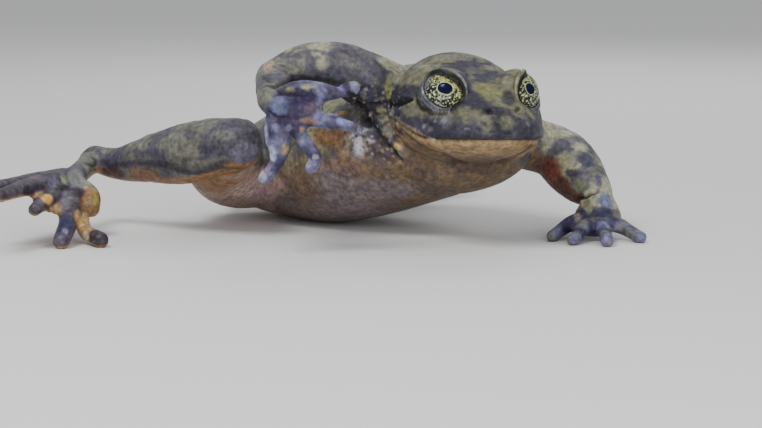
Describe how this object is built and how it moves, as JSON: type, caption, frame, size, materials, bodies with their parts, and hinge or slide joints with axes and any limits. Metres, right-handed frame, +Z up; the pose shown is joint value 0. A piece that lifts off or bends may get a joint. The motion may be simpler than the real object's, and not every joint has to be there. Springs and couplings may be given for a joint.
{
  "type": "sehuencas water frog",
  "caption": "Life-size still sehuencas water frog, head raised, one hand planted, the other lifted with spread fingers, hind legs folded out.",
  "frame": {"origin": "middle of the bounding box at floor level", "axes": "+X from the frog's outstretched right hind foot towards its planted left hand, -Y the way the frog looks, +Z up"},
  "size_m": [0.0912, 0.0866, 0.0281],
  "materials": {
    "skin": "wet, mottled olive and purple-grey above, orange-brown below",
    "hand_skin": "wet, indigo with pale lavender pads and finger tips",
    "foot_skin": "wet, orange web between dark grey toes",
    "eye": "clear gloss over a yellow-green iris with a dark network"
  },
  "bodies": {
    "root": {"head": "skin", "torso": "skin", "upper_arm_right": "skin", "forearm_right": "skin", "hand_right": "hand_skin", "thigh_right": "skin", "shank_right": "skin", "tarsus_right": "skin", "foot_right": "foot_skin", "eye_right": "eye", "upper_arm_left": "skin", "forearm_left": "skin", "hand_left": "hand_skin", "thigh_left": "skin", "shank_left": "skin", "tarsus_left": "skin", "foot_left": "foot_skin", "eye_left": "eye"}
  },
  "joints": []
}
